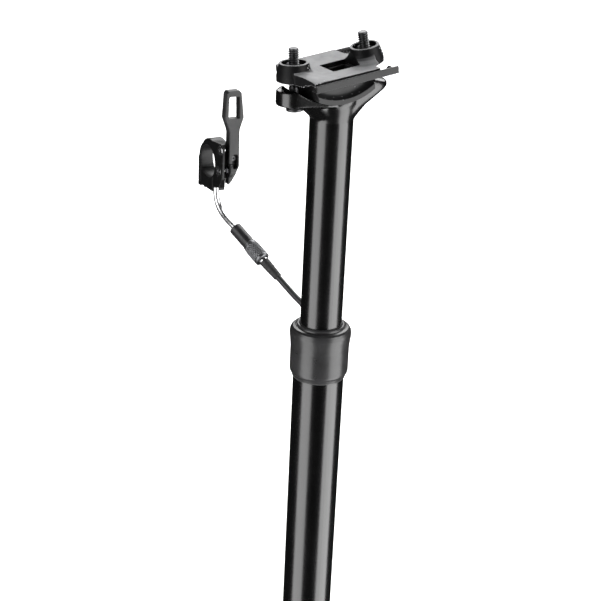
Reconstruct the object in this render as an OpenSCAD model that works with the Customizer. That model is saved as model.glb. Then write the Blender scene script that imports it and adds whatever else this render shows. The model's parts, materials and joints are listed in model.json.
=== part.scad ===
// Height-adjustable (dropper) bicycle seatpost with a handlebar remote.
// Millimetres. +Z runs up the post, -Y is the front of the bicycle, +X its left side.
// The origin is on the post's axis at the lower end of the outer tube.

/* [Post] */
// Diameter of the outer tube, which fits the frame's seat tube
outer_d = 30.9; // [30.8:0.1:31.6]
// Length of the outer tube
outer_len = 226; // [220:1:240]
// Diameter of the sliding stanchion
stanchion_d = 25; // [24.9:0.05:25.1]
// Bore of the stanchion
stanchion_bore = 22; // [21.8:0.1:22.2]
// Height of the seal head's lower edge above the origin
head_base = 202; // [198:1:204]
// Travel of the stanchion
travel = 125; // [100:5:125]

/* [Saddle clamp] */
// Distance between the two saddle rails
rail_gap = 44; // [43:0.5:45]
// Diameter of a saddle rail
rail_d = 7; // [7:0.1:7.2]
// Height of the clamp's centre above the origin
clamp_z = 391; // [390:0.5:392]
// Pitch of the clamp, front end down
clamp_pitch = 8.5; // [8:0.25:9]
// Diameter of the clamp bolts
bolt_d = 6; // [5:1:6]

/* [Remote] */
// Diameter of the handlebar
bar_d = 22.2; // [22:0.1:22.4]
// Diameter of the cable housing
housing_d = 4; // [4:0.1:4.2]

/* [Hidden] */
$fn = 72;
outer_r = outer_d / 2;
outer_bore_r = outer_r - 1.75;
outer_step_r = outer_r - 0.35;
stanchion_r = stanchion_d / 2;
bore_r = stanchion_bore / 2;
bolt_r = bolt_d / 2;
housing_r = housing_d / 2;
head_len = 34;
head_top = head_base + head_len;
stanchion_low = 145;
neck_z = 361.5;
// The clamp tilts on a cylinder about this centre, in the clamp's own frame
rocker_v = -2.4;
rocker_w = 20.7;
rocker_r = 38;
// Bolts: fore-aft place of each in the clamp's frame, and how far each leans inwards
front_v = -25.6;
rear_v = 20.8;
bolt_lean = 4.6;
bolt_tip = 15.8;
bolt_seat = -15.7;
swivel_w = -19.5;
dome_r = 5.2;
nut_w = 2.6;
nut_r = 4.35;
// Clamp plate
wing_x = 24.9;
rail_w = 1.1;
// Remote: centre of the handlebar bore, and of the lever's pivot from there
remote_at = [-160, 5, 292];
band_near = -5;
band_far = 4.4;
cheek_far = 0.7;
wire_x = 12.2;
pivot_x = 17.6;
pivot_z = -2;
// The adjuster's axis
adjuster_at = [-126, 5, 254];
adjuster_tilt = 119;
adjuster_turn = 17.5;
adjuster_dir = [
    sin(adjuster_tilt) * cos(adjuster_turn),
    sin(adjuster_tilt) * sin(adjuster_turn),
    cos(adjuster_tilt)
];
boot_at = 32.2;
boot_end = 47;
// The hank hangs behind the post, in a frame turned about Z
back_turn = 150;
hank_at = 40;
hank_low = 44;
hank_run = 80;
hank_bend = 12;
hank_half = 12.3;
wire_at = 11.5;
lever_pivot_at = 4.5;
// Route of the housing from the boot to the hank, and from the hank to the actuator
lead_route = [
    [-73, 21.5, 223.5], [-64, 24, 219], [-56.5, 24.5, 212.5], [-52, 22, 202],
    [-50.5, 19, 186], [-50.2, 17.2, 160], [-50.2, 17.1, 126]
];
tail_route = [
    [-40, 35, 48], [-40, 35, 20], [-40, 35, -6], [-39.5, 34.4, -20], [-36, 30.6, -33],
    [-29.5, 24.3, -41.5], [-22, 17.3, -43.5], [-15.5, 11, -40], [-11.2, 7, -33],
    [-10, 5.8, -27], [-10, 5.8, -23.4]
];

function unit(v) = v / norm(v);
function cross_of(a, b) = [
    a[1] * b[2] - a[2] * b[1], a[2] * b[0] - a[0] * b[2], a[0] * b[1] - a[1] * b[0]
];
// A smooth curve through the points, four steps between each pair
function at_point(p, i) = p[min(max(i, 0), len(p) - 1)];
function spline(p, i, t) =
    let (a = at_point(p, i - 1), b = p[i], c = at_point(p, i + 1), d = at_point(p, i + 2))
    0.5 * (2 * b + (c - a) * t + (2 * a - 5 * b + 4 * c - d) * t * t
        + (3 * b - a - 3 * c + d) * t * t * t);
function smooth(p, steps) = concat(
    [for (i = [0:len(p) - 2]) for (s = [0:steps - 1]) spline(p, i, s / steps)],
    [p[len(p) - 1]]
);
function heading(p, i) = unit(at_point(p, i + 1) - at_point(p, i - 1));
function bezier(a, b, c, d, t) =
    a * pow(1 - t, 3) + 3 * b * t * pow(1 - t, 2) + 3 * c * t * t * (1 - t) + d * t * t * t;
function noodle_path() = let (a = remote_at + [wire_x, -4.2, -15], b = adjuster_at)
    [for (t = [0:1 / 14:1.001]) bezier(a, a - [0, 0, 17], b - 11 * adjuster_dir, b, t)];

// A round tube along the points, with flat ends
module tube_along(p, r, sides) {
    side = [cos(60), sin(60), 0];
    rings = [for (i = [0:len(p) - 1])
        let (h = heading(p, i), a = unit(cross_of(h, side)), b = cross_of(h, a))
        for (k = [0:sides - 1]) p[i] + r * (cos(k * 360 / sides) * a + sin(k * 360 / sides) * b)
    ];
    walls = [for (i = [0:len(p) - 2]) for (k = [0:sides - 1])
        [i * sides + k, i * sides + (k + 1) % sides,
            (i + 1) * sides + (k + 1) % sides, (i + 1) * sides + k]
    ];
    first = [[for (k = [sides - 1:-1:0]) k]];
    last = [[for (k = [0:sides - 1]) (len(p) - 1) * sides + k]];
    polyhedron(points = rings, faces = concat(walls, first, last), convexity = 8);
}
module ring(outer, inner, h) {
    difference() {
        cylinder(r = outer, h = h);
        translate([0, 0, -1]) cylinder(r = inner, h = h + 2);
    }
}
module bar(low, high) {
    translate(low) cube(high - low);
}
module clamp_frame() {
    translate([0, 0, clamp_z]) rotate([clamp_pitch, 0, 0]) children();
}
module front_axis() {
    clamp_frame() translate([0, front_v, 0]) rotate([-bolt_lean, 0, 0]) children();
}
module rear_axis() {
    clamp_frame() translate([0, rear_v, 0]) rotate([bolt_lean, 0, 0]) children();
}
module across(r, half) {
    rotate([0, 90, 0]) translate([0, 0, -half]) cylinder(r = r, h = 2 * half);
}
module each_side(s) {
    if (s > 0) children();
    else mirror([1, 0, 0]) children();
}
module back_frame() {
    rotate([0, 0, back_turn]) children();
}
module remote_frame() {
    translate(remote_at) children();
}
// A cylinder along Y in the remote's frame
module along_y(x, z, r, y0, y1) {
    translate([x, y0, z]) rotate([-90, 0, 0]) cylinder(r = r, h = y1 - y0);
}
module adjuster_frame() {
    translate(adjuster_at) rotate([0, 0, adjuster_turn]) rotate([0, adjuster_tilt, 0]) children();
}
// An extrusion along X of a shape drawn in Y and Z
module along_x(x0, x1) {
    translate([x0, 0, 0]) rotate([90, 0, 90]) linear_extrude(height = x1 - x0) children();
}
// An extrusion along Y of a shape drawn in X and Z
module drawn_xz(y0, y1) {
    translate([0, y1, 0]) rotate([90, 0, 0]) linear_extrude(height = y1 - y0) children();
}

// ---- outer post ----
module outer_tube() {
    color("#17181a") difference() {
        union() {
            cylinder(r = outer_r, h = head_base);
            cylinder(r = outer_step_r, h = outer_len);
        }
        translate([0, 0, -1]) cylinder(r = outer_bore_r, h = outer_len + 2);
        for (a = [30, 150, 270])
            rotate([0, 0, a]) translate([13.2, 0, 14]) cylinder(r = 1.35, h = outer_len, $fn = 24);
    }
}
module seal_head() {
    color("#1b1c1e") translate([0, 0, head_base]) rotate_extrude($fn = 120) polygon([
        [stanchion_r + 0.3, 33.6], [stanchion_r + 0.3, 27], [14.4, 27], [14.4, 24],
        [outer_step_r, 24], [outer_step_r, 0], [16, 0], [16.9, 2.6], [17.5, 3.6],
        [17.7, 4.8], [17.7, 19.5], [18, 23], [18.4, 26.4], [18.55, 28.6], [18.35, 30.2],
        [17.7, 31.5], [16.7, 32.4], [15.4, 32.7], [14.9, 32.2], [14.6, 32.3],
        [14.4, 33.5], [14, 34], [13.2, 34]
    ]);
}
module wiper_seal() {
    color("#0d0d0e") translate([0, 0, head_base]) rotate_extrude() polygon([
        [12.55, 27.4], [12.55, 34.4], [12.78, 34.4], [12.78, 27.4]
    ]);
}
module felt_ring() {
    color("#5a5750") translate([0, 0, head_base + 24.1]) ring(14.35, stanchion_r + 0.06, 2.8);
}
module upper_bushing() {
    color("#2c2f33") translate([0, 0, outer_len - 34]) difference() {
        ring(outer_bore_r, stanchion_r + 0.05, 34);
        rotate([0, 0, 90]) bar([10, -0.8, -1], [16, 0.8, 40]);
    }
}
module bottom_cap() {
    color("#2b2d30") difference() {
        union() {
            cylinder(r = outer_bore_r, h = 13);
            translate([0, 0, -3]) cylinder(r = outer_step_r, h = 3);
        }
        translate([0, 0, -4]) cylinder(r = 5, h = 20);
    }
}
module damper_rod() {
    color("#b9bcc0") difference() {
        translate([0, 0, -3]) cylinder(r = 5, h = 163);
        translate([0, 0, -4]) cylinder(r = 1.55, h = 14);
    }
}
module rod_piston() {
    color("#c9b26a") translate([0, 0, 160]) difference() {
        cylinder(r = 7.95, h = 7);
        translate([0, 0, 2.4]) ring(9, 7.2, 2.2);
    }
}
module valve_pin() {
    color("#d8d9db") translate([0, 0, -7]) cylinder(r = 1.5, h = 14);
}

// ---- actuator below the outer tube ----
module actuator_bracket() {
    color("#232528") back_frame() difference() {
        union() {
            for (s = [-1, 1]) bar([-7, s * 6.5 - 1.5, -16.5], [15.5, s * 6.5 + 1.5, -3]);
            bar([7.5, -8, -23.4], [15.5, 8, -16.4]);
        }
        for (s = [-1, 1]) translate([lever_pivot_at, 10, -10]) rotate([90, 0, 0])
            cylinder(r = 1.55, h = 20);
        translate([wire_at, 0, -30]) cylinder(r = 2.75, h = 11.5);
        translate([wire_at, 0, -30]) cylinder(r = 1, h = 20);
    }
}
module actuator_lever() {
    color("#3a3d41") back_frame() difference() {
        union() {
            translate([lever_pivot_at, 2.4, -10]) rotate([90, 0, 0]) cylinder(r = 3.6, h = 4.8);
            translate([0, 2.4, -8.7]) rotate([90, 0, 0]) cylinder(r = 1.5, h = 4.8);
            bar([0, -2.4, -10.2], [lever_pivot_at, 2.4, -7.9]);
            for (s = [-1, 1]) {
                bar([lever_pivot_at + 2.9, s * 3.2 - 1, -11.7], [wire_at, s * 3.2 + 1, -8.3]);
                translate([wire_at, s * 3.2 + 1, -10]) rotate([90, 0, 0]) cylinder(r = 3.3, h = 2);
            }
        }
        translate([lever_pivot_at, 5, -10]) rotate([90, 0, 0]) cylinder(r = 1.55, h = 10);
        translate([wire_at, 5, -10]) rotate([90, 0, 0]) cylinder(r = 1.8, h = 10);
    }
}
module actuator_pivot() {
    color("#a9acb0") back_frame() translate([lever_pivot_at, 8.6, -10]) rotate([90, 0, 0])
        cylinder(r = 1.5, h = 17.2);
}
module lever_barrel() {
    color("#caa55a") back_frame() translate([wire_at, 4.2, -10]) rotate([90, 0, 0])
        cylinder(r = 1.75, h = 8.4);
}
module actuator_spring() {
    color("#8d9095") back_frame() for (s = [-1, 1])
        translate([lever_pivot_at, s * 3.7 + 0.45, -10]) rotate([90, 0, 0]) ring(2.7, 1.75, 0.9);
}
module housing_ferrule() {
    color("#1d1e20") back_frame() translate([wire_at, 0, -23.4]) difference() {
        union() {
            cylinder(r = 2.7, h = 4.9);
            translate([0, 0, -1.2]) cylinder(r = 3.3, h = 1.2);
        }
        translate([0, 0, -2]) cylinder(r = 0.8, h = 8);
    }
}
module lower_wire() {
    color("#c8cacd") back_frame() translate([wire_at, 0, -18.4]) cylinder(r = 0.6, h = 6.5);
}

// ---- sliding stanchion ----
module stanchion() {
    color("#141517") difference() {
        translate([0, 0, stanchion_low]) cylinder(r = stanchion_r, h = neck_z - stanchion_low, $fn = 120);
        translate([0, 0, stanchion_low - 1]) cylinder(r = bore_r, h = neck_z - stanchion_low + 2);
        for (a = [30, 150, 270]) rotate([0, 0, a]) translate([13.2, 0, stanchion_low + 16])
            cylinder(r = 1.3, h = 14, $fn = 24);
    }
}
module head_blank() {
    translate([0, 0, neck_z]) cylinder(r1 = stanchion_r, r2 = 14.5, h = 9.8);
    translate([0, 0, neck_z + 9.8]) cylinder(r = 15, h = 15);
    hull() {
        translate([0, -1, neck_z + 1]) cylinder(r = 11.7, h = 1, $fn = 32);
        translate([0, -11.5, 371.4]) cylinder(r = 11, h = 8, $fn = 32);
    }
    hull() {
        translate([0, -8, 371.4]) cylinder(r = 14.5, h = 12, $fn = 32);
        translate([0, -24.8, 371.4]) cylinder(r = 10.2, h = 8, $fn = 32);
    }
    hull() {
        translate([0, 1.1, neck_z + 0.9]) cylinder(r = 11.8, h = 1, $fn = 32);
        translate([0, 3.8, 366.6]) cylinder(r = 12, h = 1, $fn = 32);
        translate([0, 7, 370.2]) cylinder(r = 12.9, h = 15.8, $fn = 32);
    }
    hull() {
        translate([0, 7, 370.2]) cylinder(r = 12.9, h = 15.8, $fn = 32);
        rear_axis() translate([0, 0, -17]) cylinder(r = 9.8, h = 2.6, $fn = 32);
    }
}
// The bolt's hole and domed seat, drawn along the bolt's axis
module bolt_pocket() {
    translate([0, 0, -14]) cylinder(r = 4.25, h = 14);
    translate([0, 0, bolt_seat - 1]) cylinder(r = 3.65, h = 3);
    translate([0, 0, swivel_w]) sphere(r = dome_r + 0.05);
    translate([0, 0, bolt_seat - 10]) cylinder(r = 5.4, h = 10);
    translate([0, 0, -8.5]) cylinder(r = 6.6, h = 10);
}
module saddle_head() {
    color("#1a1b1d") union() {
        difference() {
            head_blank();
            clamp_frame() translate([0, rocker_v, rocker_w]) across(rocker_r, 40);
            translate([0, 0, neck_z - 10]) cylinder(r = 20, h = 10);
            front_axis() bolt_pocket();
            rear_axis() bolt_pocket();
        }
        translate([0, 0, neck_z - 26]) cylinder(r = bore_r, h = 27);
    }
}
module damper_body() {
    color("#7d8084") translate([0, 0, 149]) ring(bore_r - 0.1, 8, 170);
}
module damper_gland() {
    color("#4a4d52") difference() {
        union() {
            translate([0, 0, stanchion_low]) cylinder(r = bore_r - 0.1, h = 4);
            translate([0, 0, 149]) cylinder(r = 8, h = 5);
        }
        translate([0, 0, 140]) cylinder(r = 5.05, h = 20);
    }
}
module damper_plug() {
    color("#4a4d52") translate([0, 0, 313]) union() {
        cylinder(r = 8, h = 6);
        translate([0, 0, 6]) cylinder(r = 6, h = neck_z - 26 - 319);
    }
}
module lower_bushing() {
    color("#33363a") translate([0, 0, stanchion_low + 1]) difference() {
        ring(outer_bore_r - 0.05, stanchion_r, 13);
        rotate([0, 0, 90]) bar([10, -0.7, -1], [16, 0.7, 20]);
    }
}
module guide_keys() {
    color("#c9a24e") for (a = [30, 150, 270]) rotate([0, 0, a])
        translate([13.2, 0, stanchion_low + 16]) cylinder(r = 1.28, h = 14, $fn = 24);
}

// ---- saddle clamp ----
module cradle_bar() {
    polygon([
        [16.2, -2.6], [17.4, -3.6], [26.8, -3.6], [26.8, 0.4], [24.6, 0.4],
        [22, 0.2], [19.4, -1.3], [16.8, -1.3]
    ]);
}
module lower_cradle() {
    color("#1e1f21") clamp_frame() difference() {
        union() {
            intersection() {
                translate([0, rocker_v, rocker_w]) across(rocker_r - 0.3, 16.8);
                bar([-20, rocker_v - 18, -30], [20, rocker_v + 18, -2.5]);
            }
            drawn_xz(-26.5, 25.4) cradle_bar();
            each_side(-1) drawn_xz(-20.5, 25.4) cradle_bar();
        }
        for (s = [-1, 1]) translate([s * rail_gap / 2, 30, rail_w]) rotate([90, 0, 0])
            cylinder(r = rail_d / 2, h = 60);
        bar([-6.5, rocker_v - 5, -30], [6.5, rocker_v + 13, 0]);
        for (s = [-1, 1]) translate([s * 18, rocker_v, rocker_w]) rotate([0, 90, 0])
            rotate_extrude() translate([rocker_r - 7.6, 0]) circle(r = 4.6);
    }
}
// The hollow curve from a boss's wall down to the plate
module boss_fillet() {
    rotate_extrude() polygon([
        [0, 0], [15.5, 0], [13.4, 0.35], [11.9, 1], [10.6, 2.1], [9.6, 3.5], [8.9, 5], [8.4, 6.6], [0, 6.6]
    ]);
}
module boss(v, lean, out) {
    translate([0, v, 0]) rotate([lean, 0, 0]) {
        translate([0, 0, -2.2]) cylinder(r = 9.9, h = 3.2);
        translate([0, 0, 1]) cylinder(r1 = 9.9, r2 = 8.3, h = 7);
    }
    intersection() {
        translate([0, v, 0]) rotate([lean, 0, 0]) boss_fillet();
        bar([-17, min(v, v + out), -2], [17, max(v, v + out), 8]);
    }
}
module clamp_bore(v, lean) {
    translate([0, v, 0]) rotate([lean, 0, 0]) {
        translate([0, 0, 5]) cylinder(r = 6.8, h = 10);
        translate([0, 0, nut_w]) across(nut_r + 0.1, 5.2);
        bar([-5.2, -nut_r - 0.1, nut_w], [5.2, nut_r + 0.1, 6]);
        for (s = [-1, 0, 1]) translate([0, 1.3 * s, -6]) cylinder(r = bolt_r + 0.6, h = 9);
    }
}
// The raised front edge of the plate, an arch across the wings that dies away rearwards
function hood_fade(v) = let (t = min(max((v + 27) / 17, 0), 1)) pow(1 - t, 2) * (1 + 2 * t);
function hood_arch(x) = 1 - pow(max(abs(x) - 8, 0) / (wing_x - 8), 2);
function hood_top(x, v) = wing_top(x) + 4 * hood_fade(v) * hood_arch(x);
module hood() {
    columns = 18;
    rows = 9;
    function at(i, j, top) = let (x = -wing_x + 2 * wing_x * i / columns, v = -31 + 22 * j / rows)
        [x, v, top ? hood_top(x, v) : -0.4];
    function index(i, j, top) = (j * (columns + 1) + i) * 2 + (top ? 1 : 0);
    points = [for (j = [0:rows]) for (i = [0:columns]) for (top = [false, true]) at(i, j, top)];
    lids = [for (j = [0:rows - 1]) for (i = [0:columns - 1]) for (half = [0, 1]) for (top = [false, true])
        let (a = index(i, j, top), b = index(i + 1, j, top), c = index(i + 1, j + 1, top),
            d = index(i, j + 1, top), f = half == 0 ? [a, b, c] : [a, c, d])
        top ? [f[2], f[1], f[0]] : f];
    fronts = [for (i = [0:columns - 1]) for (j = [0, rows])
        let (f = [index(i, j, false), index(i, j, true), index(i + 1, j, true), index(i + 1, j, false)])
        j == 0 ? f : [f[3], f[2], f[1], f[0]]];
    sides = [for (j = [0:rows - 1]) for (i = [0, columns])
        let (f = [index(i, j, false), index(i, j + 1, false), index(i, j + 1, true), index(i, j, true)])
        i == 0 ? f : [f[3], f[2], f[1], f[0]]];
    polyhedron(points = points, faces = concat(lids, fronts, sides), convexity = 4);
}
module clamp_outline() {
    polygon([
        [wing_x, -26.3], [9, -30], [-9, -30], [-18.5, -27], [-wing_x, -20.5],
        [-wing_x, 14.8], [-17, 16.5], [-10.5, 21], [-9, 24], [9, 24], [10.5, 21],
        [17, 16.5], [wing_x, 14.8]
    ]);
}
module clamp_section() {
    polygon(concat(
        [for (x = [-wing_x, -22, -18, -14, -10]) [x, wing_top(x)]],
        [for (x = [10, 14, 18, 22, wing_x]) [x, wing_top(x)]],
        [[wing_x, -0.5], [19.6, -0.5], [19.4, -0.9], [16.4, -0.9], [15.6, -2.2]],
        [[-15.6, -2.2], [-16.4, -0.9], [-19.4, -0.9], [-19.6, -0.5], [-wing_x, -0.5]]
    ));
}
module upper_clamp() {
    color("#8b8d90") clamp_frame() difference() {
        union() {
            intersection() {
                union() {
                    drawn_xz(-40, 40) clamp_section();
                    hood();
                }
                translate([0, 0, -10]) linear_extrude(height = 30) clamp_outline();
            }
            boss(front_v, -bolt_lean, 12);
            boss(rear_v, bolt_lean, -13);
        }
        bar([-8.1, -4.9, -10], [8.1, 11.6, 10]);
        bar([-17, -22, -10], [17, 17, -2.2]);
        for (s = [-1, 1]) translate([s * rail_gap / 2, 30, 0.1 - rail_d / 2]) rotate([90, 0, 0])
            cylinder(r = rail_d / 2, h = 60);
        clamp_bore(front_v, -bolt_lean);
        clamp_bore(rear_v, bolt_lean);
    }
}
function wing_top(x) = 1.4 * pow(max(abs(x) - 10, 0) / (wing_x - 10), 1.5);
module clamp_bolt() {
    difference() {
        union() {
            translate([0, 0, bolt_seat - 3.5]) cylinder(r = 4.9, h = 2);
            translate([0, 0, bolt_seat - 1.5]) cylinder(r = bolt_r, h = bolt_tip - bolt_seat + 1.1);
            translate([0, 0, bolt_tip - 0.4]) cylinder(r1 = bolt_r, r2 = bolt_r - 0.5, h = 0.4);
        }
        translate([0, 0, bolt_seat - 4.5]) cylinder(r = 2.8, h = 2.6, $fn = 6);
    }
}
module front_bolt() {
    color("#2b2c2e") front_axis() clamp_bolt();
}
module rear_bolt() {
    color("#2b2c2e") rear_axis() clamp_bolt();
}
module swivel_washer() {
    difference() {
        intersection() {
            translate([0, 0, swivel_w]) sphere(r = dome_r);
            translate([0, 0, bolt_seat - 1.5]) cylinder(r = 4.7, h = 6);
        }
        translate([0, 0, -30]) cylinder(r = bolt_r, h = 30);
    }
}
module front_washer() {
    color("#6d7074") front_axis() swivel_washer();
}
module rear_washer() {
    color("#6d7074") rear_axis() swivel_washer();
}
module barrel_nut() {
    difference() {
        translate([0, 0, nut_w]) across(nut_r, 5);
        translate([0, 0, -5]) cylinder(r = bolt_r + 0.6, h = 15);
    }
}
module front_nut() {
    color("#54575b") front_axis() barrel_nut();
}
module rear_nut() {
    color("#54575b") rear_axis() barrel_nut();
}

// ---- handlebar remote ----
module remote_bracket() {
    color("#1c1d1f") remote_frame() difference() {
        union() {
            along_y(0, 0, 13.6, band_near, band_far);
            along_y(2.6, 2.8, 13.4, band_near, band_far);
            bar([-14.6, band_near, -17.5], [-11, band_far, 0]);
            bar([11.3, band_near, -9], [13.6, band_far, 14]);
            intersection() {
                union() {
                    along_y(19.4, 12.6, 4.2, band_near, cheek_far);
                    along_y(pivot_x, pivot_z, 5, band_near, cheek_far);
                    drawn_xz(band_near, cheek_far) polygon([
                        [8, -15.5], [17.5, -14.2], [22, -7], [22.6, -2], [23.6, 12.6], [19.4, 16.8], [8, 16]
                    ]);
                }
                translate([0, 0, -20]) linear_extrude(height = 40) polygon([
                    [7, band_near], [24, band_near], [24, band_near + 0.8], [15.5, cheek_far], [7, cheek_far]
                ]);
            }
        }
        along_y(0, 0, bar_d / 2, -8, 12);
        bar([-10.9, -6, -24], [8, 9, -6.6]);
        bar([-16, -6, -30], [-10.9, 9, -17.5]);
        bar([11.2, -3.8, -6], [15.6, 1.3, 3.4]);
        bar([9.4, cheek_far + 0.1, -16], [20, 12, pivot_z]);
        bar([13.6, cheek_far, -16], [24, 12, 20]);
        along_y(pivot_x, pivot_z, 5.7, cheek_far + 0.1, 12);
        along_y(pivot_x, pivot_z, 3.2, -0.6, 2);
        translate([wire_x, -4.2, -18]) cylinder(r = 2, h = 3);
        translate([wire_x, -4.2, -18]) cylinder(r = 0.8, h = 14);
        along_y(pivot_x, pivot_z, 1.5, -8, 3);
        along_y(pivot_x, pivot_z, 3.5, -8, -4);
        along_y(19.4, 12.6, 3.4, -8, -4);
        along_y(19.4, 12.6, 1.3, -8, -2);
        translate([-12.8, 1.4, -20]) cylinder(r = 1.5, h = 12);
    }
}
module bar_strap() {
    color("#161718") remote_frame() difference() {
        union() {
            bar([-10.8, band_near, -19.4], [7.9, band_far, -6.7]);
            bar([-14.6, band_near, -20.6], [-10.8, band_far, -17.7]);
        }
        along_y(0, 0, bar_d / 2, -8, 12);
        translate([-12.8, 1.4, -24]) cylinder(r = 1.6, h = 12);
    }
}
module strap_screw() {
    color("#c4c6c9") remote_frame() translate([-12.8, 1.4, 0]) difference() {
        union() {
            translate([0, 0, -22.6]) cylinder(r = 2.6, h = 2);
            translate([0, 0, -20.6]) cylinder(r = 1.5, h = 12.1);
        }
        translate([0, 0, -24]) cylinder(r = 1.2, h = 2.6, $fn = 6);
    }
}
module lever_bolt() {
    color("#d3d5d8") remote_frame() difference() {
        union() {
            along_y(pivot_x, pivot_z, 3.4, -5.7, -4);
            along_y(pivot_x, pivot_z, 1.5, -4, 3.2);
        }
        translate([pivot_x, -6.2, pivot_z]) rotate([-90, 0, 0]) cylinder(r = 1.7, h = 1.8, $fn = 6);
    }
}
module lever_bushing() {
    color("#cdb271") remote_frame() difference() {
        along_y(pivot_x, pivot_z, 2.1, 1.2, 3.4);
        along_y(pivot_x, pivot_z, 1.55, 0, 12);
    }
}
module lever_spring() {
    color("#8d9095") remote_frame() difference() {
        along_y(pivot_x, pivot_z, 2.9, -0.6, 0.7);
        along_y(pivot_x, pivot_z, 1.5, -2, 12);
    }
}
module cover_screw() {
    color("#d3d5d8") remote_frame() difference() {
        union() {
            along_y(19.4, 12.6, 3.3, -5.6, -4);
            along_y(19.4, 12.6, 1.3, -4, -2);
        }
        translate([19.4, -6.2, 12.6]) rotate([-90, 0, 0]) cylinder(r = 1.6, h = 1.6, $fn = 6);
    }
}
module lever_outline() {
    polygon([
        [1.3, 24], [0.6, 26.5], [-2.2, 34], [-1.2, 50.2], [0.2, 52], [8, 52], [9.6, 50.2],
        [11.5, 33.6], [9, 26.5], [8.6, 24], [8.9, 4], [9, 0.7], [6.6, -4.8], [3.7, -9.4],
        [1.3, -12.2]
    ]);
}
module remote_lever() {
    color("#303236") remote_frame() difference() {
        union() {
            along_x(14.1, 20) lever_outline();
            along_y(pivot_x, pivot_z, 5.2, 1.3, 3.4);
        }
        along_x(10, 24) polygon([[0.3, 33.2], [0.6, 47.2], [1.4, 48], [7.2, 48], [8, 47.2], [8.5, 33.2]]);
        along_x(16, 24) hull() {
            translate([5.8, 0.7]) circle(r = 2.1, $fn = 32);
            translate([5.8, 6.6]) circle(r = 2.1, $fn = 32);
        }
        along_y(pivot_x, pivot_z, 2.1, 0, 3.4);
    }
}
module wire_anchor() {
    color("#a9acb0") remote_frame() difference() {
        along_y(wire_x + 0.7, pivot_z, 1.5, -3.4, 1.3);
        translate([wire_x, -2.6, -5]) cylinder(r = 0.65, h = 6);
    }
}
module anchor_screw() {
    color("#d3d5d8") remote_frame() translate([0, 5.8, 5.4]) rotate([0, 90, 0]) difference() {
        translate([0, 0, 16]) cylinder(r = 1.6, h = 1.2);
        translate([0, 0, 16.4]) cylinder(r = 0.8, h = 2, $fn = 6);
    }
}
module upper_wire() {
    color("#c8cacd") remote_frame() translate([wire_x, -4.2, -15]) cylinder(r = 0.6, h = 11);
}
module noodle() {
    color("#e4e5e7") tube_along(noodle_path(), 2, 12);
}

// ---- cable adjuster and housing ----
module adjuster_barrel() {
    color("#26282b") adjuster_frame() difference() {
        union() {
            cylinder(r = 4.3, h = 15.5);
            translate([0, 0, 15.5]) cylinder(r = 2.4, h = 15.5);
            translate([0, 0, 31]) cylinder(r = 1.9, h = 1.2);
        }
        translate([0, 0, -1]) cylinder(r = 1, h = 36);
    }
}
module adjuster_knob() {
    color("#3c3e42") adjuster_frame() translate([0, 0, 15.6]) difference() {
        union() {
            cylinder(r1 = 4.6, r2 = 5.2, h = 4);
            translate([0, 0, 4]) cylinder(r = 5.2, h = 10.6);
            translate([0, 0, 14.6]) cylinder(r1 = 5.2, r2 = 4.6, h = 0.6);
        }
        translate([0, 0, -1]) cylinder(r = 2.45, h = 20);
        for (a = [0:15:345]) rotate([0, 0, a]) translate([5.4, 0, 2.4])
            cylinder(r = 0.42, h = 13, $fn = 16);
    }
}
module lock_ring() {
    color("#cfd1d4") adjuster_frame() translate([0, 0, 31]) ring(3.2, 1.9, 1.2);
}
module boot() {
    color("#1a1b1c") adjuster_frame() translate([0, 0, boot_at]) difference() {
        union() {
            cylinder(r1 = 3.4, r2 = 2.7, h = boot_end - boot_at);
            for (z = [3, 6, 9]) translate([0, 0, z]) cylinder(r = 3.45 - 0.04 * z, h = 1);
        }
        translate([0, 0, -1]) cylinder(r = 1, h = 30);
    }
}
module housing_lead() {
    start = adjuster_at + boot_end * adjuster_dir;
    color("#1f2022") tube_along(smooth(concat([start], lead_route), 4), housing_r, 8);
}
module hank_stadium(r) {
    for (z = [hank_low, hank_low + hank_run]) translate([hank_at, z]) circle(r = r);
    translate([hank_at - r, hank_low]) square([2 * r, hank_run]);
}
module housing_hank() {
    color("#1f2022") back_frame() drawn_xz(-hank_half, hank_half) hank_stadium(hank_bend + housing_r);
}
module hank_tie() {
    wide = hank_bend + housing_r;
    color("#2e3033") back_frame() difference() {
        bar([hank_at - wide - 1, -hank_half - 1, 80], [hank_at + wide + 1, hank_half + 1, 90]);
        bar([hank_at - wide, -hank_half, 79], [hank_at + wide, hank_half, 91]);
    }
}
module housing_tail() {
    color("#1f2022") tube_along(smooth(tail_route, 3), housing_r, 8);
}

outer_tube();
seal_head();
wiper_seal();
felt_ring();
upper_bushing();
bottom_cap();
damper_rod();
rod_piston();
valve_pin();
actuator_bracket();
actuator_lever();
actuator_pivot();
lever_barrel();
actuator_spring();
housing_ferrule();
lower_wire();
stanchion();
saddle_head();
damper_body();
damper_gland();
damper_plug();
lower_bushing();
guide_keys();
lower_cradle();
upper_clamp();
front_bolt();
rear_bolt();
front_washer();
rear_washer();
front_nut();
rear_nut();
remote_bracket();
bar_strap();
strap_screw();
lever_bolt();
lever_bushing();
lever_spring();
cover_screw();
remote_lever();
wire_anchor();
anchor_screw();
upper_wire();
noodle();
adjuster_barrel();
adjuster_knob();
lock_ring();
boot();
housing_lead();
housing_hank();
hank_tie();
housing_tail();
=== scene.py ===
"""Looks of a height-adjustable bicycle seatpost with its handlebar remote."""

import json
import math

import bmesh
import bpy
from mathutils import Matrix, Vector


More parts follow.
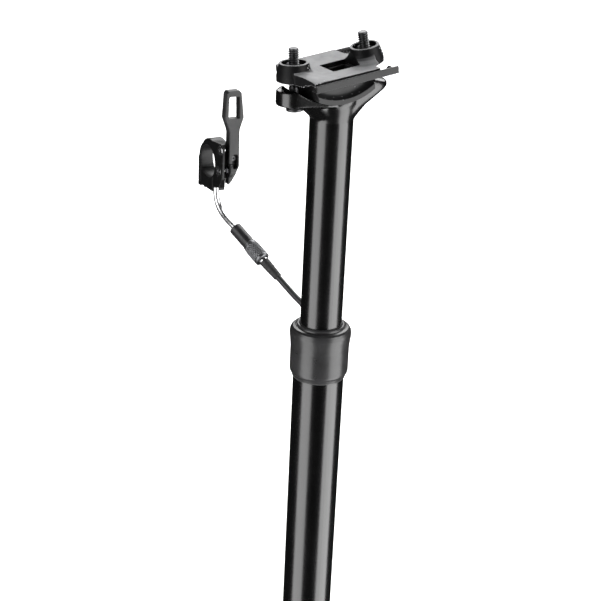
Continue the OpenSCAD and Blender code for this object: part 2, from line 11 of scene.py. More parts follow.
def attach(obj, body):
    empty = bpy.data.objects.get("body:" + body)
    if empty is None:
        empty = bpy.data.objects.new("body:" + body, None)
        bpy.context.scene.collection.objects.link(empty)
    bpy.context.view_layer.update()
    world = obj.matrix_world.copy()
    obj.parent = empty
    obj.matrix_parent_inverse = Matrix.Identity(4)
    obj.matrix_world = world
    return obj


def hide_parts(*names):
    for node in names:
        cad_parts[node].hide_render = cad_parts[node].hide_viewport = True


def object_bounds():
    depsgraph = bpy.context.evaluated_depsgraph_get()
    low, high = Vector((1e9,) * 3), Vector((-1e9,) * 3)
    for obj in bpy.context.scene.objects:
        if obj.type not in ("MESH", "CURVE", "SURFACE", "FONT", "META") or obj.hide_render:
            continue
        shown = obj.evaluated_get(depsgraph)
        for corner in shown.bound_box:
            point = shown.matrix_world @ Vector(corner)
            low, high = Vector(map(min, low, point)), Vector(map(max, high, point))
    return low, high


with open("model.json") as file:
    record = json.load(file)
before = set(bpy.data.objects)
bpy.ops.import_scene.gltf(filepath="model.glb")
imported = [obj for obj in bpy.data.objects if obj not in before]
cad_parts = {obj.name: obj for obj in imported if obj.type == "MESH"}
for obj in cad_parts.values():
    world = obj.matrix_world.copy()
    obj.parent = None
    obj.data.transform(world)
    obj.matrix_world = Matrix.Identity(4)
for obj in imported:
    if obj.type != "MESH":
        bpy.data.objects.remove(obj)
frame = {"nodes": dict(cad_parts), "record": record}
nodes = frame["nodes"]
cad_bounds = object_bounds()

MM = 0.001
TAU = 2 * math.pi

# ---- places and sizes, in millimetres, as in part.scad ----
CLAMP_Z = 391.0
CLAMP_PITCH = 8.5
BOLT_LEAN = 4.6
FRONT_V = -25.6
REAR_V = 20.8
BOLT_TIP = 15.8
BOLT_SEAT = -15.7
BOLT_RADIUS = 3.0
BOLT_HEAD_RADIUS = 4.9
SOCKET_RADIUS = 2.8
REMOTE_AT = Vector((-160.0, 5.0, 292.0))
WIRE_EXIT = Vector((12.2, -4.2, -15.0))
NECK_Z = 361.5
ROCKER_RADIUS = 38.0
ROCKER_V = -2.4
ROCKER_W = 20.7
ADJUSTER_AT = Vector((-126.0, 5.0, 254.0))
ADJUSTER_TILT = 119.0
ADJUSTER_TURN = 17.5
BOOT_FROM = 32.2
BOOT_TO = 47.0
HOUSING_RADIUS = 2.0
BACK_TURN = 150.0
HANK_AT = 40.0
HANK_LOW = 44.0
HANK_RUN = 80.0
HANK_BEND = 12.0
HANK_TURNS = 5
HANK_SIDE = 10.3
NOODLE_RADIUS = 2.0
LEAD_ROUTE = [
    (-73, 21.5, 223.5), (-64, 24, 219), (-56.5, 24.5, 212.5), (-52, 22, 202),
    (-50.5, 19, 186), (-50.2, 17.2, 160), (-50.2, 17.1, 126),
]
TAIL_ROUTE = [
    (-40, 35, 48), (-40, 35, 20), (-40, 35, -6), (-39.5, 34.4, -20), (-36, 30.6, -33),
    (-29.5, 24.3, -41.5), (-22, 17.3, -43.5), (-15.5, 11, -40), (-11.2, 7, -33),
    (-10, 5.8, -27), (-10, 5.8, -24.6),
]

# ---- finer detail than part.scad has, in millimetres unless it says otherwise ----
BOLT_HEAD_DROP = 3.5
BOLT_HEAD_TOP_DROP = 1.5
SOCKET_DEPTH = 1.7
THREAD_PITCH = 1.25  # coarser than M6, which has 1.0, so that it shows at this distance
THREAD_DEPTH = 0.72
THREAD_FROM = -6.0
THREAD_CREST = 0.1  # share of the pitch
THREAD_STEEPNESS = 1.15
ROWS_PER_THREAD = 10
ROWS_TO_FULL_DEPTH = 12
TIP_CHAMFER = 0.7
ROUND_STEPS = 48
KNOB_FROM = 15.6
KNOB_TO = 30.8
KNOB_BORE = 2.45
KNOB_NECK = 4.6
KNOB_FLARE = 0.6
KNURL_STARTS = 18
KNURL_LEAD = 2.4
KNURL_DEPTH = 0.5
KNURL_WIDTH = 0.42  # share of the knurl's spacing
BOOT_RADIUS = 3.3
BOOT_TAPER = 0.6
BOOT_BORE = 1.0
BOOT_RIB = 0.16
BOOT_RIBS = 4.5
NOODLE_DROP = 17.0
NOODLE_RUN = 11.0
NECK_BORE = 12.45
FLOW_PASSES = 90
POCKET_CLEARANCE = 8.5
EDGE_WIDTH = 0.18

# ---- camera and light, in metres and degrees ----
AIM = Vector((-0.0064, -0.0111, 0.2497))
CAMERA_DISTANCE = 0.8032
CAMERA_AZIMUTH = 60.0
CAMERA_ELEVATION = 22.3
CAMERA_ROLL = 2.61
CAMERA_LENS = 80.87
LIT_CENTRE = Vector((0, 0, 0.22))


def turn(axis, degrees):
    """A rotation matrix about X, Y or Z."""
    return Matrix.Rotation(math.radians(degrees), 4, axis)


def shift(x, y, z):
    """A translation matrix, given in millimetres."""
    return Matrix.Translation(Vector((x, y, z)) * MM)


def add_object(name, data):
    """A new object in the scene."""
    made = bpy.data.objects.new(name, data)
    bpy.context.scene.collection.objects.link(made)
    return made


def seen_from(azimuth, elevation):
    """The way out from the post at an azimuth and an elevation, and the turn that faces back."""
    a = math.radians(azimuth)
    e = math.radians(elevation)
    out = Vector((math.sin(a) * math.cos(e), -math.cos(a) * math.cos(e), math.sin(e)))
    return out, out.to_track_quat("Z", "Y").to_matrix().to_4x4()


ADJUSTER_FRAME = shift(*ADJUSTER_AT) @ turn("Z", ADJUSTER_TURN) @ turn("Y", ADJUSTER_TILT)
CLAMP_FRAME = shift(0, 0, CLAMP_Z) @ turn("X", CLAMP_PITCH)
FRONT_FRAME = CLAMP_FRAME @ shift(0, FRONT_V, 0) @ turn("X", -BOLT_LEAN)
REAR_FRAME = CLAMP_FRAME @ shift(0, REAR_V, 0) @ turn("X", BOLT_LEAN)
BACK_FRAME = turn("Z", BACK_TURN)
ROCKER_Y, ROCKER_Z = ((CLAMP_FRAME @ (Vector((0, ROCKER_V, ROCKER_W)) * MM)) / MM).yz


def make_camera():
    """The camera, at the angle and distance of the reference view."""
    back, upright = seen_from(CAMERA_AZIMUTH, CAMERA_ELEVATION)
    data = bpy.data.cameras.new("camera")
    data.lens = CAMERA_LENS
    data.sensor_width = 36.0
    data.clip_start = 0.02
    camera = add_object("camera", data)
    camera.matrix_world = (
        Matrix.Translation(AIM + back * CAMERA_DISTANCE) @ upright @ turn("Z", CAMERA_ROLL)
    )
    bpy.context.scene.camera = camera


# ---- materials ----
class Finish:
    """A procedural material: a Principled shader with its texture nodes."""

    def __init__(self, name):
        self.material = bpy.data.materials.new(name)
        self.material.use_nodes = True
        self.tree = self.material.node_tree
        self.shader = self.tree.nodes["Principled BSDF"]
        self.place = self.node("ShaderNodeTexCoord").outputs["Object"]

    def node(self, kind, **values):
        new = self.tree.nodes.new(kind)
        for key, value in values.items():
            setattr(new, key, value)
        return new

    def link(self, source, target):
        self.tree.links.new(source, target)

    def set(self, **values):
        for key, value in values.items():
            self.shader.inputs[key.replace("_", " ")].default_value = value
        return self

    def stretched(self, scale):
        """The object's own coordinates, scaled apart on each axis."""
        mapping = self.node("ShaderNodeMapping")
        mapping.inputs["Scale"].default_value = scale
        self.link(self.place, mapping.inputs["Vector"])
        return mapping.outputs["Vector"]

    def noise(self, scale, detail=4.0, stretch=None, roughness=0.55):
        texture = self.node("ShaderNodeTexNoise")
        texture.inputs["Scale"].default_value = scale
        texture.inputs["Detail"].default_value = detail
        texture.inputs["Roughness"].default_value = roughness
        self.link(self.stretched(stretch) if stretch else self.place, texture.inputs["Vector"])
        return texture.outputs["Fac"]

    def ranged(self, value, low, high, start=0.3, end=0.7):
        """value, taken from start..end to low..high."""
        mapped = self.node("ShaderNodeMapRange")
        mapped.inputs["From Min"].default_value = start
        mapped.inputs["From Max"].default_value = end
        mapped.inputs["To Min"].default_value = low
        mapped.inputs["To Max"].default_value = high
        self.link(value, mapped.inputs["Value"])
        return mapped.outputs["Result"]

    def mixed(self, value, dark, light):
        """A colour between dark and light as value goes from 0 to 1."""
        ramp = self.node("ShaderNodeMix", data_type="RGBA")
        ramp.inputs["A"].default_value = (*dark, 1)
        ramp.inputs["B"].default_value = (*light, 1)
        self.link(value, ramp.inputs["Factor"])
        return ramp.outputs["Result"]

    def colour(self, value, dark, light, start=0.3, end=0.7):
        self.link(self.mixed(self.ranged(value, 0, 1, start, end), dark, light),
                  self.shader.inputs["Base Color"])
        return self

    def worn_and_highlit_colour(self, value, dark, light, edge, start=0.52, end=0.6):
        """A mottled colour that turns to edge where the surface is sharply convex: edge wear and
        a painted highlight on the bevels together.
        """
        body = self.mixed(self.ranged(value, 0, 1), dark, light)
        # Edge wear and painted highlight: sharply convex edges take the edge colour.
        sharp = self.ranged(self.node("ShaderNodeNewGeometry").outputs["Pointiness"],
                            0, 1, start, end)
        mix = self.node("ShaderNodeMix", data_type="RGBA")
        mix.inputs["B"].default_value = (*edge, 1)
        self.link(body, mix.inputs["A"])
        self.link(sharp, mix.inputs["Factor"])
        self.link(mix.outputs["Result"], self.shader.inputs["Base Color"])
        return self

    def rough(self, value, low, high):
        self.link(self.ranged(value, low, high), self.shader.inputs["Roughness"])
        return self

    def bumps(self, *layers):
        """Each layer is (value, height in millimetres)."""
        normal = None
        for value, height in layers:
            bump = self.node("ShaderNodeBump")
            bump.inputs["Distance"].default_value = height * MM
            self.link(value, bump.inputs["Height"])
            if normal:
                self.link(normal, bump.inputs["Normal"])
            normal = bump.outputs["Normal"]
        self.link(normal, self.shader.inputs["Normal"])
        return self


def gloss_black():
    """Polished black hard anodising: deep colour, a clear lustre and faint lathe marks."""
    f = Finish("gloss_black_anodised")
    f.set(Metallic=0.0, IOR=1.77)
    f.colour(f.noise(60), (0.0004, 0.0004, 0.0005), (0.001, 0.001, 0.0011))
    f.rough(f.noise(35, 6), 0.19, 0.25)
    turned = f.noise(1, 3, (30, 30, 9000))
    f.bumps((turned, 0.001), (f.noise(900), 0.0008))
    return f.material


def satin_black(name, base, low, high, edge, shine=0.5):
    """Forged aluminium, bead blasted and anodised black, with paler edges that stand for both
    edge wear and a painted highlight.
    """
    f = Finish(name)
    f.set(Metallic=0.0, IOR=1.5, Specular_IOR_Level=shine)
    f.worn_and_highlit_colour(f.noise(90), (base * 0.7,) * 3, (base * 1.3, base * 1.3, base * 1.36),
                  (edge, edge, edge * 1.03))
    f.rough(f.noise(120, 6), low, high)
    f.bumps((f.noise(5200, 2), 0.005), (f.noise(700, 3), 0.006))
    return f.material


def painted_toplight_finish(name):
    """The upper clamp: black anodised, with painted light and shade: faces that look up are
    painted pale grey as if lit from above, and the sides are painted near black as shade.
    """
    f = Finish(name)
    # Painted light and shade: up-facing faces get the pale grey top colour and steeper faces the
    # near-black side colour.
    facing = f.node("ShaderNodeSeparateXYZ")
    f.link(f.node("ShaderNodeTexCoord").outputs["Normal"], facing.inputs["Vector"])
    toplight_share = f.ranged(facing.outputs["Z"], 0, 1, 0.35, 0.75)
    side = f.mixed(f.ranged(f.noise(140), 0, 1), (0.003, 0.003, 0.0032), (0.006, 0.006, 0.0065))
    top = f.mixed(f.ranged(f.noise(140), 0, 1), (0.25, 0.251, 0.258), (0.33, 0.331, 0.339))
    body = f.node("ShaderNodeMix", data_type="RGBA")
    f.link(side, body.inputs["A"])
    f.link(top, body.inputs["B"])
    f.link(toplight_share, body.inputs["Factor"])
    # Painted highlight: sharply convex edges turn pale grey, as bevels that catch the light.
    sharp = f.ranged(f.node("ShaderNodeNewGeometry").outputs["Pointiness"], 0, 1, 0.525, 0.57)
    edged = f.node("ShaderNodeMix", data_type="RGBA")
    edged.inputs["B"].default_value = (0.5, 0.5, 0.51, 1)
    f.link(body.outputs["Result"], edged.inputs["A"])
    f.link(sharp, edged.inputs["Factor"])
    f.link(edged.outputs["Result"], f.shader.inputs["Base Color"])
    f.set(Metallic=0.0, IOR=1.5, Specular_IOR_Level=0.14)
    f.rough(f.noise(200, 6), 0.4, 0.5)
    f.bumps((f.noise(4800, 2), 0.008), (f.noise(600, 3), 0.006))
    return f.material


def bare_metal(name, dark, light, low, high, grain=(1, 1, 1), height=0.002):
    """A turned or ground metal with its tool marks along one way."""
    f = Finish(name)
    f.set(Metallic=1.0, Anisotropic=0.3)
    f.colour(f.noise(300), dark, light)
    f.rough(f.noise(500, 6), low, high)
    f.bumps((f.noise(2600, 3, grain), height), (f.noise(6000, 2), height / 2))
    return f.material


def moulded(name, dark, light, low, high, height=0.012):
    """Moulded rubber or plastic with a fine matt grain."""
    f = Finish(name)
    f.set(Metallic=0.0, IOR=1.5, Sheen_Weight=0.05, Sheen_Roughness=0.4)
    f.colour(f.noise(220), dark, light)
    f.rough(f.noise(300, 6), low, high)
    f.bumps((f.noise(4200, 3), height), (f.noise(500, 3), height / 2))
    return f.material


def woven(name, dark, light):
    """A strap of looped yarn."""
    f = Finish(name)
    weave = f.node("ShaderNodeTexWave", wave_type="BANDS", bands_direction="Z")
    weave.inputs["Scale"].default_value = 900
    weave.inputs["Distortion"].default_value = 2.5
    f.link(f.place, weave.inputs["Vector"])
    f.set(Sheen_Weight=0.4, Sheen_Roughness=0.5)
    f.colour(f.noise(2500), dark, light)
    f.rough(f.noise(900), 0.75, 0.92)
    f.bumps((weave.outputs["Fac"], 0.12), (f.noise(5000), 0.05))
    return f.material


GLOSS = gloss_black()
SATIN = satin_black("satin_black_anodised", 0.0008, 0.22, 0.28, 0.012, 0.9)
COLLAR = satin_black("collar_black", 0.018, 0.27, 0.34, 0.06, 0.7)
CRADLE = satin_black("cradle_black", 0.007, 0.3, 0.4, 0.1, 0.35)
LEVER = satin_black("lever_black", 0.02, 0.3, 0.4, 0.16, 0.35)
REMOTE = satin_black("remote_black", 0.004, 0.3, 0.4, 0.05, 0.3)
PAINTED_TOPLIGHT = painted_toplight_finish("painted_toplight_grey")
BOLT = bare_metal("black_oxide_steel", (0.06, 0.06, 0.062), (0.12, 0.12, 0.124), 0.28, 0.42)
ZINC = bare_metal("zinc_plate", (0.33, 0.33, 0.34), (0.47, 0.47, 0.48), 0.28, 0.4)
SILVER = bare_metal("bright_steel", (0.58, 0.58, 0.59), (0.72, 0.72, 0.73), 0.16, 0.28)
CHROME = bare_metal("chrome", (0.78, 0.78, 0.79), (0.86, 0.86, 0.87), 0.24, 0.32, height=0.0006)
BRASS = bare_metal("brass", (0.5, 0.34, 0.12), (0.64, 0.46, 0.19), 0.22, 0.36)
DARK = bare_metal("dark_aluminium", (0.05, 0.05, 0.055), (0.085, 0.085, 0.09), 0.3, 0.42)
KNURL = bare_metal("knurled_grey", (0.14, 0.142, 0.148), (0.22, 0.222, 0.23), 0.32, 0.44)
RUBBER = moulded("rubber", (0.012, 0.012, 0.012), (0.022, 0.022, 0.023), 0.5, 0.66)
JACKET = moulded("housing_jacket", (0.01, 0.01, 0.011), (0.018, 0.018, 0.019), 0.3, 0.42, 0.004)
POLYMER = moulded("bushing_polymer", (0.045, 0.046, 0.05), (0.07, 0.07, 0.075), 0.45, 0.6)
FELT = woven("felt", (0.1, 0.095, 0.09), (0.2, 0.19, 0.18))
STRAP = woven("tie_fabric", (0.015, 0.015, 0.016), (0.04, 0.04, 0.042))

SLOT_FINISH = {
    "gloss_black_tube": GLOSS, "satin_black": SATIN, "cradle_black": CRADLE,
    "clamp_grey": PAINTED_TOPLIGHT, "bolt_steel": BOLT, "washer_steel": ZINC, "rubber_black": RUBBER,
    "felt": FELT, "bushing_polymer": POLYMER, "dark_aluminium": DARK, "bright_steel": SILVER,
    "brass": BRASS, "tube_aluminium": ZINC, "remote_body_black": REMOTE,
    "remote_lever_black": LEVER, "screw_silver": SILVER, "chrome_noodle": CHROME,
    "adjuster_black": JACKET, "adjuster_grey": KNURL, "housing_jacket": JACKET,
    "tie_fabric": STRAP,
}
NODE_FINISH = {
    "seal_head": COLLAR, "lever_bushing": DARK, "wire_anchor": DARK,
    "front_nut": DARK, "rear_nut": DARK,
}
SLOT_OF = {p["node"]: p["material_slot"] for p in frame["record"]["subparts"]}


def dress_frame():
    """Gives every CAD node the finish of its material slot."""
    for name, node in nodes.items():
        finish = SLOT_FINISH[SLOT_OF[name]]
        if not node.material_slots:
            node.data.materials.append(finish)
        for slot in node.material_slots:
            slot.material = finish
    for name, finish in NODE_FINISH.items():
        for slot in nodes[name].material_slots:
            slot.material = finish


def soften_edges(name, width):
    """A small bevel round a CAD node's sharp edges, as a modifier."""
    bevel = nodes[name].modifiers.new("edge", "BEVEL")
    bevel.width = width * MM
    bevel.segments = 2
    bevel.limit_method = "ANGLE"
    bevel.angle_limit = math.radians(40)
    bevel.use_clamp_overlap = True


# ---- meshes ----
def piece_from(name, mesh, finish, body, *replaced):
    """A new piece of the object, riding on body and standing for CAD nodes."""
    piece = add_object(name, mesh)
    mesh.materials.clear()
    mesh.materials.append(finish)
    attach(piece, body)
    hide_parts(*replaced)


def smooth_shade(mesh):
    for polygon in mesh.polygons:
        polygon.use_smooth = True


def baked(piece):
    """The mesh of piece with its modifiers applied."""
    graph = bpy.context.evaluated_depsgraph_get()
    return bpy.data.meshes.new_from_object(piece.evaluated_get(graph))


def forged(node, voxel, passes, body, finish, core=None, blended=None):
    """A CAD node's shape with its edges rounded over, as a forging's are.

    core is a mesh that is melted into the shape, where the next piece fills its socket.
    blended says of a point, in millimetres, how far its joins flow together, from 0 to 1."""
    source = bmesh.new()
    source.from_mesh(nodes[node].data)
    if core:
        source.from_mesh(core)
    shape = bpy.data.meshes.new("work")
    source.to_mesh(shape)
    source.free()
    work = add_object("work", shape)
    remesh = work.modifiers.new("remesh", "REMESH")
    remesh.mode = "VOXEL"
    remesh.voxel_size = voxel * MM
    relax = work.modifiers.new("relax", "SMOOTH")
    relax.factor = 0.5
    relax.iterations = passes
    mesh = baked(work)
    bpy.data.objects.remove(work)
    if blended:
        work = add_object("work", mesh)
        group = work.vertex_groups.new(name="blended")
        for vertex in mesh.vertices:
            weight = blended(vertex.co / MM)
            if weight > 0:
                group.add([vertex.index], weight, "REPLACE")
        flow = work.modifiers.new("flow", "SMOOTH")
        flow.vertex_group = "blended"
        flow.iterations = FLOW_PASSES
        mesh = baked(work)
        bpy.data.objects.remove(work)
    smooth_shade(mesh)
    piece_from(node + "_forged", mesh, finish, body, node)


def add_loop(mesh, radius_at, height, steps):
    """A loop of vertices round Z; radius_at gives its radius at an angle."""
    loop = []
    for k in range(steps):
        angle = TAU * k / steps
        radius = radius_at(angle)
        loop.append(mesh.verts.new((
            radius * math.cos(angle) * MM, radius * math.sin(angle) * MM, height * MM,
        )))
    return loop


def join_loops(mesh, loops, steps):
    """Faces from each loop to the next; a loop of one vertex makes a fan."""
    for low, high in zip(loops, loops[1:]):
        for k in range(steps):
            after = (k + 1) % steps
            corners = [low[k % len(low)], low[after % len(low)],
                       high[after % len(high)], high[k % len(high)]]
            mesh.faces.new(list(dict.fromkeys(corners)))


def lathe(profile, steps):
    """A surface of revolution about Z, from (radius, height) points; radius 0 is the axis."""
    mesh = bmesh.new()
    loops = []
    for radius, height in profile:
        if radius == 0:
            loops.append([mesh.verts.new((0, 0, height * MM))])
        else:
            loops.append(add_loop(mesh, lambda angle: radius, height, steps))
    join_loops(mesh, loops, steps)
    return mesh


def finish_mesh(mesh, name, matrix, smooth=True):
    """A bmesh moved by matrix, as mesh data."""
    bmesh.ops.recalc_face_normals(mesh, faces=mesh.faces)
    mesh.transform(matrix)
    data = bpy.data.meshes.new(name)
    mesh.to_mesh(data)
    mesh.free()
    if smooth:
        smooth_shade(data)
    return data


def socket_radius(angle):
    """The radius of the hexagonal socket at an angle."""
    return SOCKET_RADIUS * math.cos(TAU / 12) / math.cos((angle % (TAU / 6)) - TAU / 12)


def thread_radius(height, angle, depth):
    """The radius of the bolt's thread at a height and an angle."""
    along = (height / THREAD_PITCH - angle / TAU) % 1.0
    slope = max(abs(along - 0.5) - THREAD_CREST / 2, 0) / (0.5 - THREAD_CREST / 2)
    return BOLT_RADIUS - depth * min(slope * THREAD_STEEPNESS, 1)


def threaded_bolt(name, placement, body, *replaced):
    """A socket-head bolt with a helical thread on its upper end."""
    low = BOLT_SEAT - BOLT_HEAD_DROP
    high = BOLT_SEAT - BOLT_HEAD_TOP_DROP
    socket_floor = low + SOCKET_DEPTH
    wide = BOLT_HEAD_RADIUS
    rim = [(wide - 0.4, low), (wide - 0.12, low + 0.12), (wide, low + 0.4),
           (wide, high), (BOLT_RADIUS, high)]
    tip = [(BOLT_RADIUS - 0.5, BOLT_TIP - 0.1), (BOLT_RADIUS - 0.7, BOLT_TIP)]
    mesh = bmesh.new()
    loops = [[mesh.verts.new((0, 0, socket_floor * MM))]]
    for height in (socket_floor, low):
        loops.append(add_loop(mesh, socket_radius, height, ROUND_STEPS))
    for radius, height in rim:
        loops.append(add_loop(mesh, lambda angle: radius, height, ROUND_STEPS))
    rows = int((BOLT_TIP - TIP_CHAMFER - THREAD_FROM) / (THREAD_PITCH / ROWS_PER_THREAD))
    for k in range(rows + 1):
        height = THREAD_FROM + k * THREAD_PITCH / ROWS_PER_THREAD
        depth = THREAD_DEPTH * min(k / ROWS_TO_FULL_DEPTH, 1)
        loops.append(add_loop(mesh, lambda angle: thread_radius(height, angle, depth),
                              height, ROUND_STEPS))
    for radius, height in tip:
        loops.append(add_loop(mesh, lambda angle: radius, height, ROUND_STEPS))
    loops.append([mesh.verts.new((0, 0, BOLT_TIP * MM))])
    join_loops(mesh, loops, ROUND_STEPS)
    piece_from(name, finish_mesh(mesh, name, placement), BOLT, body, *replaced)


def knob_radius(height):
    """The knob's outline, without its knurl."""
    along = (height - KNOB_FROM) / (KNOB_TO - KNOB_FROM)
    flared = KNOB_NECK + KNOB_FLARE * min(along / 0.28, 1)
    return flared - KNOB_FLARE * max(along - 0.96, 0) / 0.04


def knurled_radius(height, angle):
    """The outline with two sets of crossing grooves, which fade out at each collar."""
    edge = min(height - (KNOB_FROM + 2.2), (KNOB_TO - 2.0) - height)
    fade = max(min(edge / 0.5, 1), 0)
    phase = (height - KNOB_FROM) / KNURL_LEAD
    one = abs(((angle / TAU * KNURL_STARTS + phase) % 1) - 0.5) * 2
    two = abs(((angle / TAU * KNURL_STARTS - phase) % 1) - 0.5) * 2
    groove = max(1 - one / KNURL_WIDTH, 1 - two / KNURL_WIDTH, 0)
    return knob_radius(height) - KNURL_DEPTH * fade * groove


def knurled_knob():
    """The adjuster's knob: a diamond knurl between two plain collars."""
    steps = 8 * KNURL_STARTS
    rows = 90
    chamfer = 0.15
    face_chamfer = 0.25
    mesh = bmesh.new()

    def plain(radius, height):
        return add_loop(mesh, lambda angle: radius, height, steps)

    loops = [plain(KNOB_BORE, KNOB_FROM), plain(knob_radius(KNOB_FROM) - face_chamfer, KNOB_FROM)]
    for k in range(rows + 1):
        height = KNOB_FROM + chamfer + (KNOB_TO - KNOB_FROM - 2 * chamfer) * k / rows
        loops.append(add_loop(mesh, lambda angle: knurled_radius(height, angle), height, steps))
    loops.append(plain(knob_radius(KNOB_TO) - face_chamfer, KNOB_TO))
    loops.append(plain(KNOB_BORE, KNOB_TO))
    join_loops(mesh, loops + loops[:1], steps)
    data = finish_mesh(mesh, "knob", ADJUSTER_FRAME)
    piece_from("adjuster_knob_knurled", data, KNURL, "adjuster_knob", "adjuster_knob")


def ribbed_boot():
    """The rubber boot over the housing's end, with soft ribs."""
    lip = 0.25
    profile = [(BOOT_BORE, BOOT_FROM), (BOOT_RADIUS - 0.2, BOOT_FROM),
               (BOOT_RADIUS, BOOT_FROM + lip)]
    length = BOOT_TO - BOOT_FROM
    steps = 60
    for k in range(1, steps):
        along = k / steps
        body = BOOT_RADIUS - BOOT_TAPER * along
        wave = max(math.cos(TAU * along * BOOT_RIBS), 0)
        rib = BOOT_RIB * wave if 0.1 < along < 0.86 else 0
        profile.append((body + rib, BOOT_FROM + lip + along * (length - 2 * lip)))
    profile += [(2.6, BOOT_TO), (BOOT_BORE, BOOT_TO)]
    mesh = lathe(profile, 64)
    bmesh.ops.holes_fill(mesh, edges=mesh.edges)
    data = finish_mesh(mesh, "boot", ADJUSTER_FRAME)
    piece_from("boot_ribbed", data, RUBBER, "lower_post", "boot")


def curve_piece(name, points, radius, finish):
    """A round tube along points, given in millimetres, as one open spline."""
    data = bpy.data.curves.new(name, "CURVE")
    data.dimensions = "3D"
    data.bevel_depth = radius * MM
    data.bevel_resolution = 5
    data.use_fill_caps = True
    spline = data.splines.new("POLY")
    spline.points.add(len(points) - 1)
    for point, place in zip(spline.points, points):
        point.co = (*(Vector(place) * MM), 1)
    spline.use_smooth = True
    data.materials.append(finish)
    return add_object(name, data)


def smooth_route(route, steps):
    """Points on the Catmull-Rom curve through a route."""
    places = [Vector(p) for p in route]
    out = []
    for i in range(len(places) - 1):
        a = places[max(i - 1, 0)]
        b = places[i]
        c = places[i + 1]
        d = places[min(i + 2, len(places) - 1)]
        for s in range(steps):
            t = s / steps
            out.append(0.5 * (2 * b + (c - a) * t + (2 * a - 5 * b + 4 * c - d) * t * t
                              + (3 * b - a - 3 * c + d) * t ** 3))
    return out + [places[-1]]


def back_point(along, side, height):
    """A point given behind the post: away from the reference view, across it, and up."""
    return BACK_FRAME @ Vector((along, side, height))


def hank_turns():
    """The housing's turns: down the far run, round, up the near run and over, five times."""
    arc_steps = 10
    run_steps = 4
    turn_length = 2 * HANK_RUN + TAU * HANK_BEND
    points = []

    def add(along, height, travelled):
        side = HANK_SIDE - 2 * HANK_SIDE * travelled / (turn_length * HANK_TURNS)
        points.append(back_point(HANK_AT + along, side, height))

    for number in range(HANK_TURNS):
        gone = number * turn_length
        for k in range(run_steps):
            part = k / run_steps * HANK_RUN
            add(HANK_BEND, HANK_LOW + HANK_RUN - part, gone + part)
        gone += HANK_RUN
        for k in range(arc_steps):
            angle = math.pi * k / arc_steps
            add(HANK_BEND * math.cos(angle), HANK_LOW - HANK_BEND * math.sin(angle),
                gone + HANK_BEND * angle)
        gone += math.pi * HANK_BEND
        for k in range(run_steps):
            part = k / run_steps * HANK_RUN
            add(-HANK_BEND, HANK_LOW + part, gone + part)
        gone += HANK_RUN
        for k in range(arc_steps):
            angle = math.pi * k / arc_steps
            add(-HANK_BEND * math.cos(angle), HANK_LOW + HANK_RUN + HANK_BEND * math.sin(angle),
                gone + HANK_BEND * angle)
    add(HANK_BEND, HANK_LOW + HANK_RUN, HANK_TURNS * turn_length)
    return points


def cable_housing():
    """The whole housing, from the boot through the hank to the ferrule at the actuator."""
    start = (ADJUSTER_FRAME @ (Vector((0, 0, BOOT_TO)) * MM)) / MM
    lead = smooth_route([start] + LEAD_ROUTE, 8)
    tail = smooth_route(TAIL_ROUTE, 8)
    points = lead[:-1] + hank_turns() + tail
    piece = curve_piece("cable_housing", points, HOUSING_RADIUS, JACKET)
    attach(piece, "lower_post")
    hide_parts("housing_lead", "housing_hank", "housing_tail")


def noodle_tube():
    """The bent metal guide between the lever's bracket and the adjuster."""
    start = REMOTE_AT + WIRE_EXIT
    end = ADJUSTER_AT
    along = (ADJUSTER_FRAME.to_3x3() @ Vector((0, 0, 1))).normalized()
    second = start - Vector((0, 0, NOODLE_DROP))
    third = end - NOODLE_RUN * along
    points = []
    steps = 40
    for k in range(steps + 1):
        t = k / steps
        points.append(start * (1 - t) ** 3 + 3 * second * t * (1 - t) ** 2
                      + 3 * third * t * t * (1 - t) + end * t ** 3)
    piece = curve_piece("noodle_bent", points, NOODLE_RADIUS, CHROME)
    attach(piece, "lower_post")
    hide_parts("noodle")


def neck_flow(place):
    """Full over the neck and arms, and none near a bolt's pocket, the rocker or the socket."""
    clear = 1.0
    for along in (FRONT_V, REAR_V):
        clear = min(clear, (Vector((place.x, place.y - along)).length - POCKET_CLEARANCE) / 3)
    seat = Vector((0, ROCKER_Y, ROCKER_Z))
    rocker = Vector((place.y - seat.y, place.z - seat.z)).length - ROCKER_RADIUS
    above = (place.z - NECK_Z) / 2
    return max(min(clear, rocker / 2 - 0.4, above, 1.0), 0.0)


def build_pieces():
    """Replaces the CAD nodes whose real surface is softer or finer than the CAD's."""
    low, high = NECK_Z - 8, NECK_Z + 3
    plug = lathe([(0, low), (NECK_BORE, low), (NECK_BORE, high), (0, high)], 96)
    neck = finish_mesh(plug, "neck", Matrix.Identity(4))
    forged("saddle_head", 0.36, 6, "upper_post", SATIN, neck, neck_flow)
    forged("upper_clamp", 0.3, 3, "top_clamp", PAINTED_TOPLIGHT)
    forged("lower_cradle", 0.3, 3, "cradle", CRADLE)
    forged("remote_bracket", 0.25, 4, "lower_post", REMOTE)
    forged("bar_strap", 0.25, 3, "lower_post", REMOTE)
    forged("remote_lever", 0.22, 12, "remote_lever", LEVER)
    threaded_bolt("front_bolt_threaded", FRONT_FRAME, "front_bolt", "front_bolt")
    threaded_bolt("rear_bolt_threaded", REAR_FRAME, "rear_bolt", "rear_bolt")
    knurled_knob()
    ribbed_boot()
    noodle_tube()
    for name in ("front_nut", "rear_nut", "lever_bolt", "cover_screw", "strap_screw",
                 "actuator_bracket", "actuator_lever", "hank_tie", "anchor_screw"):
        soften_edges(name, EDGE_WIDTH)


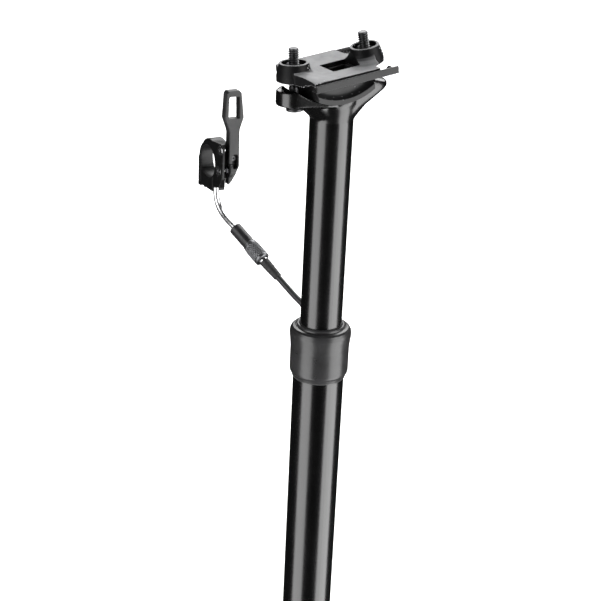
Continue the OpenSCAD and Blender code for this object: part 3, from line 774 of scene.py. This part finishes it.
# ---- stage and light ----
def make_stage():
    """A plain pale floor that curves up behind the object, in metres."""
    mesh = bmesh.new()
    floor_z = cad_bounds[0][2] - 0.002
    azimuth = math.radians(CAMERA_AZIMUTH)
    away = Vector((-math.sin(azimuth), math.cos(azimuth), 0))
    across = Vector((away.y, -away.x, 0))
    flat_to = 1.4
    radius = 1.0
    steps = 12
    profile = [(-3.0, 0.0), (flat_to, 0.0)]
    for k in range(1, steps + 1):
        angle = math.pi / 2 * k / steps
        profile.append((flat_to + radius * math.sin(angle), radius * (1 - math.cos(angle))))
    profile.append((flat_to + radius, 4.0))
    rows = []
    for forward, height in profile:
        rows.append([
            mesh.verts.new(away * forward + across * side + Vector((0, 0, floor_z + height)))
            for side in (-4.0, 4.0)
        ])
    for low, high in zip(rows, rows[1:]):
        mesh.faces.new([low[0], low[1], high[1], high[0]])
    data = finish_mesh(mesh, "stage", Matrix.Identity(4))
    stage = add_object("stage", data)
    stage.visible_glossy = False
    stage.visible_shadow = False
    f = Finish("stage_paper")
    f.set(Roughness=0.9, Emission_Color=(1, 1, 1, 1), Emission_Strength=0.75)
    f.colour(f.noise(3), (0.86, 0.86, 0.86), (0.88, 0.88, 0.88))
    data.materials.append(f.material)


def softbox(name, azimuth, elevation, distance, size, power):
    """A rectangular light that faces the post, placed by its direction from it."""
    data = bpy.data.lights.new(name, "AREA")
    data.shape = "RECTANGLE"
    data.size, data.size_y = size
    data.energy = power
    back, upright = seen_from(CAMERA_AZIMUTH + azimuth, elevation)
    light = add_object(name, data)
    light.matrix_world = Matrix.Translation(LIT_CENTRE + back * distance) @ upright


def make_light():
    """Soft studio light: a tall box at each side of the camera, and one above and behind."""
    softbox("left_box", -51, -8, 1.5, (1.2, 3.4), 40)
    softbox("right_box", 69, -8, 1.5, (1.45, 3.4), 60)
    softbox("back_box", 172, 42, 1.6, (1.7, 1.2), 26)
    world = bpy.data.worlds.new("surround")
    world.use_nodes = True
    background = world.node_tree.nodes["Background"]
    background.inputs["Color"].default_value = (1, 1, 1, 1)
    background.inputs["Strength"].default_value = 0.018
    bpy.context.scene.world = world
    bpy.context.scene.view_settings.view_transform = "Standard"


make_camera()
dress_frame()
cable_housing()
build_pieces()
make_stage()
make_light()
